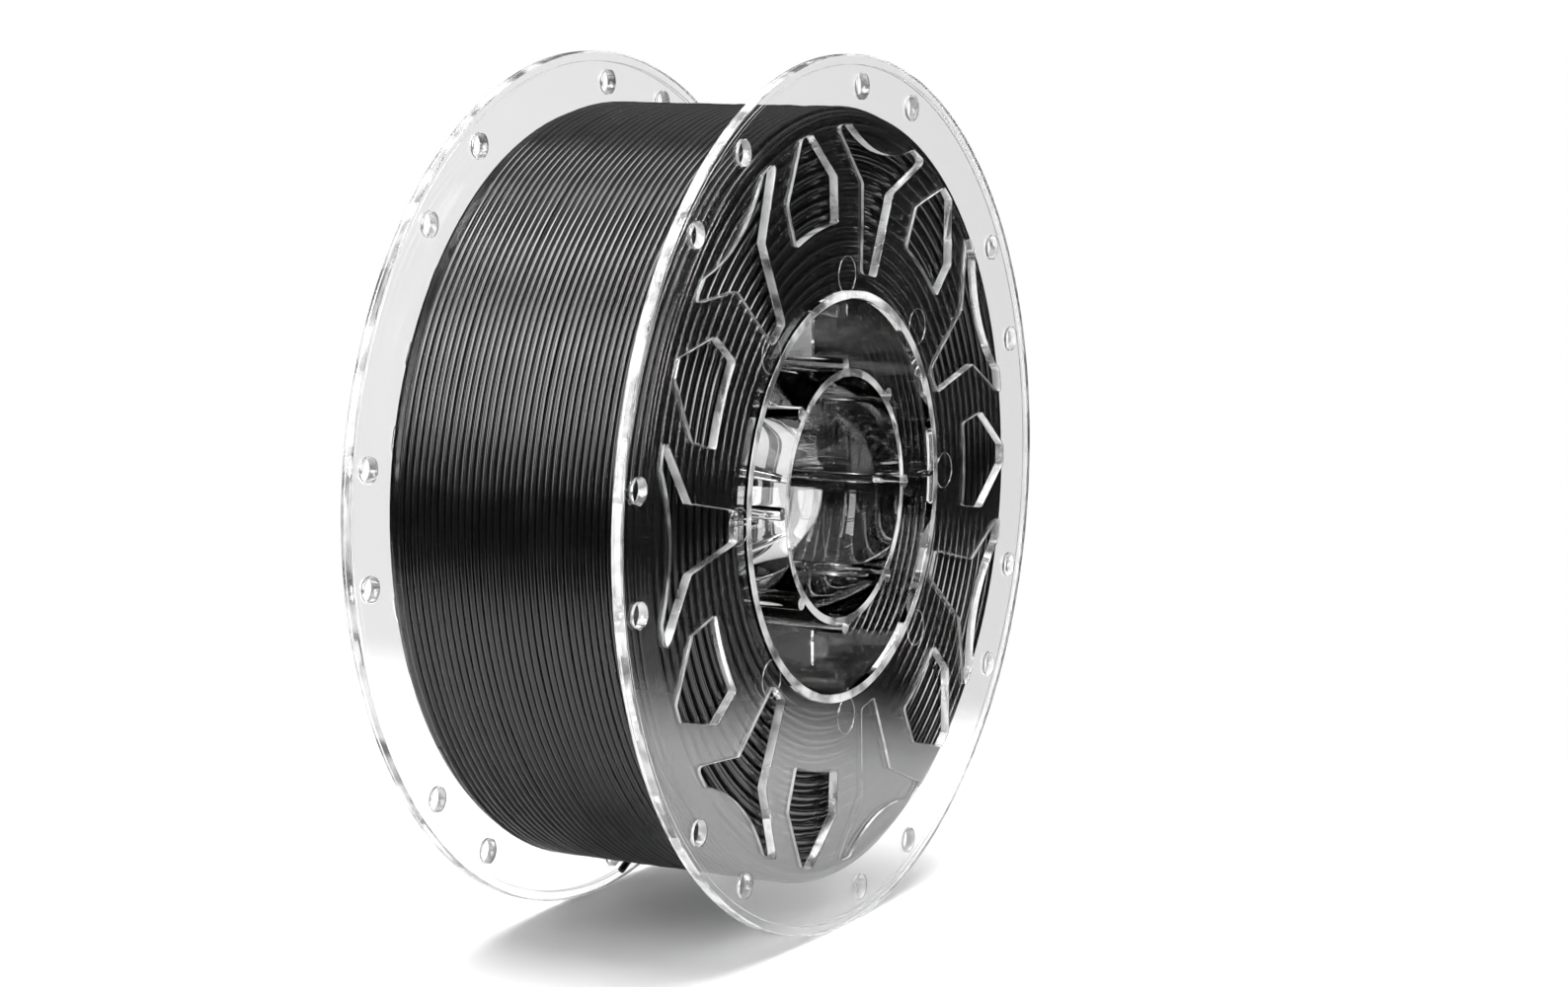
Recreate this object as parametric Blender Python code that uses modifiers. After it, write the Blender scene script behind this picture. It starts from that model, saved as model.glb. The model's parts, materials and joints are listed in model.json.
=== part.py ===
"""A filament spool: two clear moulded halves on one axis, wound nearly full with round filament.

Units are metres. +X is the spool's axis and points to the front flange, +Z is up, and the origin is on
the axis, midway between the flanges. The spool stands on its two rims.

One half is modelled once, in a half frame of its own: local +Z points along the axis, out of the spool,
and local +Y is up on the front half. Each member of the moulding (flange, drum wall, bore tube, webs) is a
separate piece. Two empties then place the halves: the back half is the front one turned over about Y.
"""
from math import acos, cos, pi, radians, sin

import bmesh
import bpy
from mathutils import Matrix, Vector

# Overall sizes
OVERALL_WIDTH = 0.0694          # from rim face to rim face
FLANGE_RADIUS = 0.1000
FACETS = 72                     # sides of each turned piece; one side lies flat at the bottom
JOINT_GAP = 0.0003              # left between pieces that touch

# Flange: a thin plate with a slightly thicker rim
RIM_THICKNESS = 0.0026
RIM_WIDTH = 0.0023
PLATE_THICKNESS = 0.0022

# Drum: the wall that the filament is wound on
DRUM_RADIUS = 0.0470
DRUM_WALL = 0.0020

# Bore tube, with half-round ribs along its outside
BORE_RADIUS = 0.0275
TUBE_WALL = 0.0017
TUBE_RECESS = 0.0003            # from the rim face to the tube's end
TUBE_FACETS_PER_RIB = 6
RIB_COUNT = 8
RIB_RADIUS = 0.0015
RIB_STANDOFF = 0.0009           # from the tube's outer wall to the rib's centre
RIB_STEPS = 5

# Radial webs between the bore tube and the drum wall
WEB_COUNT = 4
WEB_THICKNESS = 0.0014
WEB_RECESS = 0.0086             # from the tube's end to the web's outer edge
WEB_TAB_DEPTH = 0.0044          # of the tab that runs on outwards along the drum wall
WEB_CORNER_RADIUS = 0.0015

# Windows in the flange: seven T shapes alternate with seven five-sided ones
WINDOW_PAIRS = 7
FIRST_T_ANGLE = radians(-90.0)  # clockwise from up, seen from outside
PLATE_MARK_INDEX = 5            # the T shape that is a shallow blind panel
PANEL_DEPTH = 0.0006
WINDOW_TOP_INSET = 0.0157       # from the flange's edge to the windows' outer corners
WINDOW_CORNER_RADIUS = 0.0012
CORNER_STEPS = 1

T_STEM_OFFSET = 0.0039          # from the drum to the stem's end
T_STEM_HALF_WIDTH = 0.0034
T_NECK_DROP = 0.0134            # from the arm tips down to the neck
T_NECK_HALF_WIDTH = 0.0075
T_ARM_ANGLE = radians(15.5)
T_CREST_ANGLE = radians(11.2)
T_CREST_DROP = 0.0053           # the outer edge bows in by this much
T_CREST_STEPS = 6

P_HALF_ANGLE = radians(9.2)
P_TOP_HALF_ANGLE = radians(1.6)
P_SIDE_DROP = 0.0113            # from the windows' outer corners to the side corners
P_BASE_DROP = 0.0216            # from the windows' outer corners to the base
P_BASE_STEPS = 3

# Pairs of small round holes near the rim, over each T window
RIM_HOLE_RADIUS = 0.0028
RIM_HOLE_INSET = 0.0070         # from the flange's edge to the hole's centre
RIM_HOLE_ANGLE = radians(8.0)
RIM_HOLE_SIDES = 10

# Filament, as a solid ring of the wound shape
WINDING_RADIUS = 0.0883
FRONT_SHOULDER_RADIUS = 0.0015
BACK_SHOULDER_RADIUS = 0.0027
SHOULDER_STEPS = 4

# The strand's free end: it leaves the winding at the back, springs straight and stops inside the rim
STRAND_RADIUS = 0.000875
FREE_END_ROUTE = (
    (-0.0304, 0.0575, -0.0686), (-0.0304, 0.0500, -0.0742), (-0.0304, 0.0421, -0.0791),
    (-0.0305, 0.0338, -0.0835), (-0.0306, 0.0252, -0.0880), (-0.0307, 0.0163, -0.0926),
    (-0.0308, 0.0085, -0.0966),
)
FREE_END_STEPS = 3              # tube points for each leg of the route
FREE_END_BEVEL_RESOLUTION = 2

# Worked out from the sizes above, in the half frame
RIM_FACE = OVERALL_WIDTH / 2
RIM_INNER_FACE = RIM_FACE - RIM_THICKNESS
PLATE_FACE = RIM_FACE - (RIM_THICKNESS - PLATE_THICKNESS) / 2
PLATE_INNER_FACE = PLATE_FACE - PLATE_THICKNESS
SPLIT_FACE = JOINT_GAP / 2
TUBE_END = RIM_FACE - TUBE_RECESS
TUBE_RADIUS = BORE_RADIUS + TUBE_WALL
RIB_CIRCLE = TUBE_RADIUS + RIB_STANDOFF
WINDOW_TOP = FLANGE_RADIUS - WINDOW_TOP_INSET
CUT_MARGIN = 0.001              # a cutter runs this far past the face it opens

PLASTIC_LOOK = {"base": (0.90, 0.93, 0.95), "roughness": 0.08, "transmission": 1.0}
FILAMENT_LOOK = {"base": (0.012, 0.012, 0.014), "roughness": 0.30, "transmission": 0.0}


def clear_scene():
    for obj in list(bpy.data.objects):
        bpy.data.objects.remove(obj, do_unlink=True)


def make_collection(name):
    collection = bpy.data.collections.new(name)
    bpy.context.scene.collection.children.link(collection)
    return collection


def make_material(name, look):
    material = bpy.data.materials.new(name)
    material.use_nodes = True
    shader = material.node_tree.nodes["Principled BSDF"]
    shader.inputs["Base Color"].default_value = (*look["base"], 1.0)
    shader.inputs["Roughness"].default_value = look["roughness"]
    shader.inputs["Transmission Weight"].default_value = look["transmission"]
    shader.inputs["Metallic"].default_value = 0.0
    material.diffuse_color = (*look["base"], 1.0)
    return material


def polar(radius, angle):
    """A point on the flange; the angle runs clockwise from up, seen from outside."""
    return Vector((radius * sin(angle), radius * cos(angle)))


def turned(points, angle):
    """The outline, turned clockwise about the axis."""
    turn = Matrix.Rotation(-angle, 2)
    return [turn @ point for point in points]


def mirrored_outline(right_half):
    """Closes a half outline, listed from the centre line outwards and back, by its mirror image."""
    left_half = [(Vector((-point.x, point.y)), radius) for point, radius in reversed(right_half)]
    return right_half + left_half


def rounded(corners, steps):
    """An outline whose corners, given as (point, radius), are rounded; radius 0 keeps a point."""
    outline = []
    for index, (corner, radius) in enumerate(corners):
        if radius == 0:
            outline.append(corner)
            continue
        before = corners[index - 1][0] - corner
        after = corners[(index + 1) % len(corners)][0] - corner
        half_angle = before.angle(after) / 2
        reach = radius * cos(half_angle) / sin(half_angle)
        reach = min(reach, 0.45 * before.length, 0.45 * after.length)
        start = corner + before.normalized() * reach
        end = corner + after.normalized() * reach
        for step in range(steps + 1):
            t = step / steps
            outline.append(start * (1 - t) ** 2 + corner * 2 * t * (1 - t) + end * t ** 2)
    return outline


def t_window():
    """The T shape, upright: a stem from near the drum, widening to two arms under the rim."""
    stem = Vector((T_STEM_HALF_WIDTH, DRUM_RADIUS + T_STEM_OFFSET))
    neck = Vector((T_NECK_HALF_WIDTH, WINDOW_TOP - T_NECK_DROP))
    arm = polar(WINDOW_TOP, T_ARM_ANGLE)
    crest_end = polar(WINDOW_TOP, T_CREST_ANGLE)
    crest_middle = Vector((0.0, WINDOW_TOP - T_CREST_DROP))
    half = [(corner, WINDOW_CORNER_RADIUS) for corner in (stem, neck, arm, crest_end)]
    for step in range(1, T_CREST_STEPS // 2):
        share = 1 - step / (T_CREST_STEPS // 2)
        x = crest_end.x * share
        y = crest_middle.y + (crest_end.y - crest_middle.y) * share ** 2
        half.append((Vector((x, y)), 0))
    outline = mirrored_outline(half)
    outline.insert(len(half), (crest_middle, 0))
    return rounded(outline, CORNER_STEPS)


def p_window():
    """The five-sided shape, upright: a curved base, two sides and a narrow blunt top."""
    base_radius = WINDOW_TOP - P_BASE_DROP
    half = []
    for step in range(P_BASE_STEPS):
        angle = P_HALF_ANGLE * (2 * step + 1 - P_BASE_STEPS) / P_BASE_STEPS
        if angle > 0:
            half.append((polar(base_radius, angle), 0))
    half.append((polar(base_radius, P_HALF_ANGLE), WINDOW_CORNER_RADIUS))
    half.append((polar(WINDOW_TOP - P_SIDE_DROP, P_HALF_ANGLE), WINDOW_CORNER_RADIUS))
    half.append((polar(WINDOW_TOP, P_TOP_HALF_ANGLE), WINDOW_CORNER_RADIUS))
    return rounded(mirrored_outline(half), CORNER_STEPS)


def circle(centre, radius, sides):
    return [centre + polar(radius, 2 * pi * side / sides) for side in range(sides)]


def prism(name, outlines, low, high):
    """A mesh with each flat outline extruded from low to high along local Z; an inner one is a hole."""
    curve = bpy.data.curves.new(name, "CURVE")
    curve.dimensions = "2D"
    curve.fill_mode = "BOTH"
    curve.extrude = (high - low) / 2
    for outline in outlines:
        spline = curve.splines.new("POLY")
        spline.points.add(len(outline) - 1)
        for spline_point, point in zip(spline.points, outline):
            spline_point.co = (point.x, point.y, 0.0, 1.0)
        spline.use_cyclic_u = True
    scratch = bpy.data.objects.new(name, curve)
    bpy.context.scene.collection.objects.link(scratch)
    mesh = bpy.data.meshes.new_from_object(scratch.evaluated_get(bpy.context.evaluated_depsgraph_get()))
    bpy.data.objects.remove(scratch)
    shape = bmesh.new()
    shape.from_mesh(mesh)
    bmesh.ops.remove_doubles(shape, verts=shape.verts, dist=0.000001)
    bmesh.ops.translate(shape, verts=shape.verts, vec=(0.0, 0.0, (low + high) / 2))
    bmesh.ops.recalc_face_normals(shape, faces=shape.faces)
    shape.to_mesh(mesh)
    shape.free()
    mesh.name = name
    return mesh


def turned_ring(name, profile):
    """A mesh turned about local Z from a closed profile of (radius, z), listed down its outer side."""
    start = pi / FACETS
    mesh = bpy.data.meshes.new(name)
    points = [(radius * cos(start), radius * sin(start), z) for radius, z in profile]
    edges = [(index, (index + 1) % len(points)) for index in range(len(points))]
    mesh.from_pydata(points, edges, [])
    scratch = bpy.data.objects.new(name, mesh)
    bpy.context.scene.collection.objects.link(scratch)
    screw = scratch.modifiers.new("turn", "SCREW")
    screw.steps = FACETS
    screw.render_steps = FACETS
    screw.use_merge_vertices = True
    screw.merge_threshold = 0.000001
    ring = bpy.data.meshes.new_from_object(scratch.evaluated_get(bpy.context.evaluated_depsgraph_get()))
    bpy.data.objects.remove(scratch)
    ring.name = name
    return ring


def add_piece(name, mesh, material, collection, parent=None, turn=None):
    """Places a piece in the frame of its half; each piece has its own copy of the material slot."""
    mesh.materials.clear()
    mesh.materials.append(material)
    mesh.shade_smooth()
    mesh.set_sharp_from_angle(angle=radians(30))
    piece = bpy.data.objects.new(name, mesh)
    collection.objects.link(piece)
    piece.parent = parent
    if turn is not None:
        piece.matrix_local = turn
    return piece


def add_cutter(name, mesh, collection, parent):
    cutter = bpy.data.objects.new(name, mesh)
    collection.objects.link(cutter)
    cutter.parent = parent
    cutter.hide_render = True
    cutter.display_type = "WIRE"
    return cutter


def flange_mesh():
    """The plate and its rim, around the drum."""
    hole = DRUM_RADIUS + JOINT_GAP
    rim_inside = FLANGE_RADIUS - RIM_WIDTH
    return turned_ring("flange", [
        (FLANGE_RADIUS, RIM_FACE), (FLANGE_RADIUS, RIM_INNER_FACE), (rim_inside, RIM_INNER_FACE),
        (rim_inside, PLATE_INNER_FACE), (hole, PLATE_INNER_FACE), (hole, PLATE_FACE),
        (rim_inside, PLATE_FACE), (rim_inside, RIM_FACE),
    ])


def window_outlines():
    """The T windows without the blind one, the five-sided windows and the pairs of rim holes."""
    pitch = 2 * pi / WINDOW_PAIRS
    outlines = []
    for index in range(WINDOW_PAIRS):
        angle = FIRST_T_ANGLE + index * pitch
        if index != PLATE_MARK_INDEX:
            outlines.append(turned(t_window(), angle))
        outlines.append(turned(p_window(), angle + pitch / 2))
        for side in (-1, 1):
            centre = polar(FLANGE_RADIUS - RIM_HOLE_INSET, angle + side * RIM_HOLE_ANGLE)
            outlines.append(circle(centre, RIM_HOLE_RADIUS, RIM_HOLE_SIDES))
    return outlines


def panel_outline():
    return turned(t_window(), FIRST_T_ANGLE + PLATE_MARK_INDEX * 2 * pi / WINDOW_PAIRS)


def drum_mesh():
    inside = DRUM_RADIUS - DRUM_WALL
    return turned_ring("drum_half", [
        (DRUM_RADIUS, RIM_FACE), (DRUM_RADIUS, SPLIT_FACE), (inside, SPLIT_FACE), (inside, RIM_FACE),
    ])


def tube_mesh():
    """The bore tube; its outer outline follows the wall and goes round each rib."""
    rib_spread = acos((TUBE_RADIUS ** 2 - RIB_CIRCLE ** 2 - RIB_RADIUS ** 2) / (2 * RIB_CIRCLE * RIB_RADIUS))
    rib_foot = polar(RIB_CIRCLE, 0) + polar(RIB_RADIUS, rib_spread)
    foot_angle = Vector((0, 1)).angle(rib_foot)
    outer = []
    for rib in range(RIB_COUNT):
        rib_angle = 2 * pi * rib / RIB_COUNT
        centre = polar(RIB_CIRCLE, rib_angle)
        for step in range(RIB_STEPS + 1):
            around = rib_spread * (2 * step / RIB_STEPS - 1)
            outer.append(centre + polar(RIB_RADIUS, rib_angle + around))
        wall_span = 2 * pi / RIB_COUNT - 2 * foot_angle
        for step in range(1, TUBE_FACETS_PER_RIB):
            outer.append(polar(TUBE_RADIUS, rib_angle + foot_angle + wall_span * step / TUBE_FACETS_PER_RIB))
    bore = circle(Vector((0, 0)), BORE_RADIUS, FACETS)
    return prism("bore_tube", [outer, bore], SPLIT_FACE, TUBE_END)


def web_mesh():
    """One web, drawn with x along the radius and y along the axis."""
    inside = RIB_CIRCLE + RIB_RADIUS + JOINT_GAP
    outside = (DRUM_RADIUS - DRUM_WALL) * cos(pi / FACETS) - JOINT_GAP
    tab = DRUM_RADIUS - DRUM_WALL - WEB_TAB_DEPTH
    edge = TUBE_END - WEB_RECESS
    corners = [
        (Vector((inside, SPLIT_FACE)), 0), (Vector((outside, SPLIT_FACE)), 0),
        (Vector((outside, TUBE_END)), 0), (Vector((tab, TUBE_END)), RIM_THICKNESS),
        (Vector((tab, edge)), WEB_CORNER_RADIUS), (Vector((inside, edge)), 0),
    ]
    mesh = prism("web", [rounded(corners, 3)], -WEB_THICKNESS / 2, WEB_THICKNESS / 2)
    mesh.transform(Matrix.Rotation(pi / 2, 4, "X"))
    return mesh


def winding_mesh():
    """The wound filament; local Z points to the back, where the last layer stops short of the flange."""
    inside = DRUM_RADIUS + JOINT_GAP
    end = PLATE_INNER_FACE - JOINT_GAP
    corners = [
        (Vector((WINDING_RADIUS, end)), BACK_SHOULDER_RADIUS),
        (Vector((WINDING_RADIUS, -end)), FRONT_SHOULDER_RADIUS),
        (Vector((inside, -end)), 0), (Vector((inside, end)), 0),
    ]
    return turned_ring("winding", [tuple(point) for point in rounded(corners, SHOULDER_STEPS)])


def smooth_route(route, steps):
    """Points on a smooth curve through the route's points."""
    points = [Vector(point) for point in route]
    ends = [points[0] * 2 - points[1], *points, points[-1] * 2 - points[-2]]
    smooth = []
    for leg in range(len(points) - 1):
        before, start, end, after = ends[leg:leg + 4]
        for step in range(steps):
            t = step / steps
            smooth.append(0.5 * (
                2 * start + (end - before) * t
                + (2 * before - 5 * start + 4 * end - after) * t ** 2
                + (3 * start - before - 3 * end + after) * t ** 3
            ))
    return smooth + [points[-1]]


def add_free_end(filament, spool):
    """The loose end of the strand, a round tube with flat cut ends."""
    curve = bpy.data.curves.new("filament_free_end", "CURVE")
    curve.dimensions = "3D"
    curve.bevel_depth = STRAND_RADIUS
    curve.bevel_resolution = FREE_END_BEVEL_RESOLUTION
    curve.use_fill_caps = True
    points = smooth_route(FREE_END_ROUTE, FREE_END_STEPS)
    spline = curve.splines.new("POLY")
    spline.points.add(len(points) - 1)
    for spline_point, point in zip(spline.points, points):
        spline_point.co = (*point, 1.0)
    curve.materials.append(filament)
    spool.objects.link(bpy.data.objects.new("filament_free_end", curve))


def make_half(side, placing, meshes, plastic, spool, cutters):
    """One moulded half: flange, drum wall, bore tube and webs under the empty that turns it."""
    half = bpy.data.objects.new(side + "_half", None)
    spool.objects.link(half)
    half.matrix_world = placing
    flange = add_piece(side + "_flange", meshes["flange"].copy(), plastic, spool, half)
    for name in ("windows", "panel"):
        cutter = add_cutter(side + "_" + name + "_cutter", meshes[name], cutters, half)
        cut = flange.modifiers.new(name, "BOOLEAN")
        cut.operation = "DIFFERENCE"
        cut.object = cutter
    add_piece(side + "_drum_half", meshes["drum"].copy(), plastic, spool, half)
    add_piece(side + "_bore_tube", meshes["tube"].copy(), plastic, spool, half)
    for index in range(WEB_COUNT):
        turn = Matrix.Rotation(2 * pi * index / WEB_COUNT, 4, "Z")
        add_piece(f"{side}_web_{index + 1}", meshes["web"].copy(), plastic, spool, half, turn)


def main():
    clear_scene()
    spool = make_collection("filament_spool")
    cutters = make_collection("cutters")
    plastic = make_material("clear_plastic", PLASTIC_LOOK)
    filament = make_material("black_filament", FILAMENT_LOOK)
    meshes = {
        "flange": flange_mesh(),
        "windows": prism(
            "windows", window_outlines(), PLATE_INNER_FACE - CUT_MARGIN, PLATE_FACE + CUT_MARGIN
        ),
        "panel": prism("panel", [panel_outline()], PLATE_FACE - PANEL_DEPTH, PLATE_FACE + CUT_MARGIN),
        "drum": drum_mesh(),
        "tube": tube_mesh(),
        "web": web_mesh(),
    }
    front = Matrix(((0, 0, 1, 0), (1, 0, 0, 0), (0, 1, 0, 0), (0, 0, 0, 1)))
    back = Matrix.Rotation(pi, 4, "Y") @ front
    make_half("front", front, meshes, plastic, spool, cutters)
    make_half("back", back, meshes, plastic, spool, cutters)
    winding = add_piece("filament_winding", winding_mesh(), filament, spool)
    winding.matrix_world = back
    add_free_end(filament, spool)


main()
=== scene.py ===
"""The finished look of the filament spool: two clear moulded halves and the black strand wound on them.

Each clear half is one seamless moulding, modelled once in a half frame (local +Z out along the axis,
local +Y up) and placed twice. The strand shows its own turns wherever it can be seen: the last layer, the
turns that lie against each flange, and the first layer through the clear drum.
"""

import json
from math import acos, cos, pi, radians, sin, tau

import bmesh
import bpy
from mathutils import Matrix, Vector

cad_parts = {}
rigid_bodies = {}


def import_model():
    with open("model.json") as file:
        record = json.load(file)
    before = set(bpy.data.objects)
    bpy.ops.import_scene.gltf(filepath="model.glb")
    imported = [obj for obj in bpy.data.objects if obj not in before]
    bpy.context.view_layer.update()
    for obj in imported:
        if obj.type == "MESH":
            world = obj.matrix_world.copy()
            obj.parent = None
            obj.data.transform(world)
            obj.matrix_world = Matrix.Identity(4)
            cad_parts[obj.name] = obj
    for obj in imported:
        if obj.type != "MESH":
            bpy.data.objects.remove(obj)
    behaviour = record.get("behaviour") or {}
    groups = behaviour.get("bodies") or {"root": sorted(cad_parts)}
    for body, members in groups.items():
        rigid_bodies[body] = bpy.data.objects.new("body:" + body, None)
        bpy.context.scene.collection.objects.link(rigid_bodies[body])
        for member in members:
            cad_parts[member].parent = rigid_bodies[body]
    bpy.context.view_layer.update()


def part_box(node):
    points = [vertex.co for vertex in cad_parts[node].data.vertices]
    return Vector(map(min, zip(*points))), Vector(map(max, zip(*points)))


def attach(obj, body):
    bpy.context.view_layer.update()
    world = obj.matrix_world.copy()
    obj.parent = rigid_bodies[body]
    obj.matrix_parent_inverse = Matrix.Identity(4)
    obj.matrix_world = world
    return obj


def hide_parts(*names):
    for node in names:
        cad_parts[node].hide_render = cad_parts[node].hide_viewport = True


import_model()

MM = 0.001

# Sizes that the frame gives
RIM_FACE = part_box("front_flange")[1].x
RIM_INNER_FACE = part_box("front_flange")[0].x
FLANGE_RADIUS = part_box("front_flange")[1].z
TUBE_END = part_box("front_bore_tube")[1].x

# Half moulding
HALF_SPLIT = 0.03 * MM
PLATE_FACE = RIM_FACE - 0.2 * MM
PLATE_INNER_FACE = PLATE_FACE - 2.2 * MM
RIM_WIDTH = 2.3 * MM
RIM_OUTER_ROUND = 0.35 * MM
RIM_INNER_ROUND = 0.15 * MM
DRUM_RADIUS = 47.0 * MM
DRUM_WALL = 2.0 * MM
DRUM_END_ROUND = 0.25 * MM
BORE_RADIUS = 27.5 * MM
TUBE_WALL = 1.7 * MM
TUBE_ROUND = 0.12 * MM
RIB_COUNT = 8
RIB_RADIUS = 1.5 * MM
RIB_STANDOFF = 0.9 * MM
WEB_COUNT = 4
WEB_THICKNESS = 1.4 * MM
WEB_TAB_THICKNESS = 1.0 * MM
WEB_RECESS = 8.6 * MM
WEB_TAB_DEPTH = 4.4 * MM
WEB_CORNER_RADIUS = 1.5 * MM
WEB_FOOT_RADIUS = 0.2 * MM
WEB_TAB_RADIUS = 5.0 * MM
WEB_TAB_STEP = 0.1 * MM         # how far the tab stands back from the web's own edge
WEB_ROUND = 0.08 * MM
WEB_CORNER_STEPS = 6
EDGE_ROUND = 0.22 * MM
RING_CORNER_STEPS = 4
SINK = 0.5 * MM                 # how far joined pieces of the moulding run into each other
TURNED_STEPS = 240
MERGE_DISTANCE = 0.001 * MM

# Windows in the flange
WINDOW_PAIRS = 7
FIRST_T_ANGLE = radians(-90.0)
BLIND_T_INDEX = 5
BLIND_DEPTH = 0.6 * MM
WINDOW_TOP = FLANGE_RADIUS - 15.6 * MM
WINDOW_CORNER_RADIUS = 1.3 * MM
CORNER_STEPS = 5
RIM_HOLE_RADIUS = 2.8 * MM
RIM_HOLE_SIDES = 32
RIM_HOLE_INSET = 7.0 * MM
RIM_HOLE_ANGLE = radians(8.0)
EJECTOR_COUNT = 8
EJECTOR_CIRCLE = 50.6 * MM
EJECTOR_RADIUS = 4.2 * MM
EJECTOR_LINE = 0.09 * MM
EJECTOR_LIFT = 0.01 * MM        # keeps the line clear of the plate

# Filament
STRAND_RADIUS = 0.875 * MM
WINDING_RADIUS = 88.3 * MM
WINDING_END = PLATE_INNER_FACE - 0.3 * MM
LAYER_STEP = 1.65 * MM          # from one layer to the next, which settles between its turns
LAYER_TURNS = 36
TURN_POINTS = 120
STRAND_SIDES = 8
OUTER_LAYER_SIDES = 12
CORE_DEPTH = STRAND_RADIUS * 1.35   # how far the dark body stays under the winding's surfaces
CORE_ROUND = 1.0 * MM
SHOULDER_DEPTH = 1.9 * MM       # how deep the turns that climb the shoulders start
SIDE_TOP_DEPTH = 2.4 * MM       # how far under the last layer the side turns stop
DEEP_TURNS_INWARD = 0.75 * MM
FREE_END_ROUTE = (
    (-0.0304, 0.0575, -0.0686), (-0.0304, 0.0500, -0.0742), (-0.0304, 0.0421, -0.0791),
    (-0.0305, 0.0338, -0.0835), (-0.0306, 0.0252, -0.0880), (-0.0307, 0.0163, -0.0926),
    (-0.0308, 0.0085, -0.0966),
)
FREE_END_STEPS = 6

# Table: where its edges start to fade into the white surround, and where they are gone
TABLE_BACK_FADE = (0.13, 0.26)
TABLE_FRONT_FADE = (-0.16, -0.34)
TABLE_SIDE_FADE = (0.20, 0.60)
TABLE_DROP = 0.1 * MM

# Soft boxes that only gloss mirrors: direction from the spool's centre, width and height, radiance
SOFTBOX_DISTANCE = 1.25
SOFTBOXES = {
    "front_low_softbox": ((0.26, -0.85, 0.42), (0.26, 0.65), 9.0),
    "front_high_softbox": ((0.26, -0.55, 0.85), (0.22, 0.75), 22.0),
    "right_low_softbox": ((0.74, -0.50, 0.45), (0.60, 0.60), 12.0),
    "right_high_softbox": ((0.62, -0.06, 0.78), (0.45, 0.75), 16.0),
    "left_softbox": ((-0.469, -0.75, 0.47), (0.45, 1.10), 7.0),
    "top_softbox": ((-0.05, 0.15, 1.0), (0.4, 0.5), 9.0),
}
TABLE_LIGHT_HEIGHT = 1.40
TABLE_LIGHT_SIZE = (1.60, 1.60)
TABLE_LIGHT_RADIANCE = 5.0

# The room that gloss mirrors goes from one level to the other between two heights (sines of elevation)
ROOM_HEIGHTS = (0.12, 0.70)
ROOM_LEVELS = (0.015, 0.4)
GUIDED_MIRRORINGS = 2.5         # light that clear walls mirror more often than this is white again

# Colours in sRGB, and refractive indices
POLYSTYRENE_COLOUR = "#fafafa"
POLYSTYRENE_IOR = 1.59
FILAMENT_DARK, FILAMENT_PALE = "#09090a", "#101011"
FILAMENT_IOR = 1.55
PAPER_COLOUR = "#fafafa"
WHITE = "#ffffff"

FRONT = Matrix(((0, 0, 1, 0), (1, 0, 0, 0), (0, 1, 0, 0), (0, 0, 0, 1)))
BACK = Matrix.Rotation(pi, 4, "Y") @ FRONT


# ---------------------------------------------------------------- camera, table and light

def set_camera():
    """Looks at the front flange from its left, a little from above."""
    azimuth, elevation, distance = radians(28.31), radians(8.22), 0.838
    target = Vector((0.018385, 0.0, -0.00028))
    back = Vector((sin(azimuth) * cos(elevation), -cos(azimuth) * cos(elevation), sin(elevation)))
    data = bpy.data.cameras.new("camera")
    data.lens = 83.97
    data.sensor_width = 36.0
    data.clip_start = 0.01
    camera = bpy.data.objects.new("camera", data)
    camera.location = target + back * distance
    camera.rotation_euler = back.to_track_quat("Z", "Y").to_euler()
    bpy.context.scene.collection.objects.link(camera)
    bpy.context.scene.camera = camera


def softbox(name, direction, distance, size, radiance):
    """A soft light that only glossy surfaces mirror; the white surround lights the matt ones."""
    data = bpy.data.lights.new(name, "AREA")
    data.shape = "RECTANGLE"
    data.size, data.size_y = size
    data.energy = radiance * pi * size[0] * size[1]
    light = bpy.data.objects.new(name, data)
    towards = Vector(direction).normalized()
    light.location = towards * distance
    light.rotation_euler = towards.to_track_quat("Z", "Y").to_euler()
    light.visible_camera = light.visible_diffuse = False
    bpy.context.scene.collection.objects.link(light)
    return light


def stage_plane(name, low, high, height, finish):
    """A flat piece of the set, which isn't part of the object."""
    mesh = bpy.data.meshes.new(name)
    corners = [(low[0], low[1]), (high[0], low[1]), (high[0], high[1]), (low[0], high[1])]
    mesh.from_pydata([(x, y, height) for x, y in corners], [], [(0, 1, 2, 3)])
    mesh.materials.append(finish)
    plane = bpy.data.objects.new(name, mesh)
    bpy.context.scene.collection.objects.link(plane)
    return plane


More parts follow.
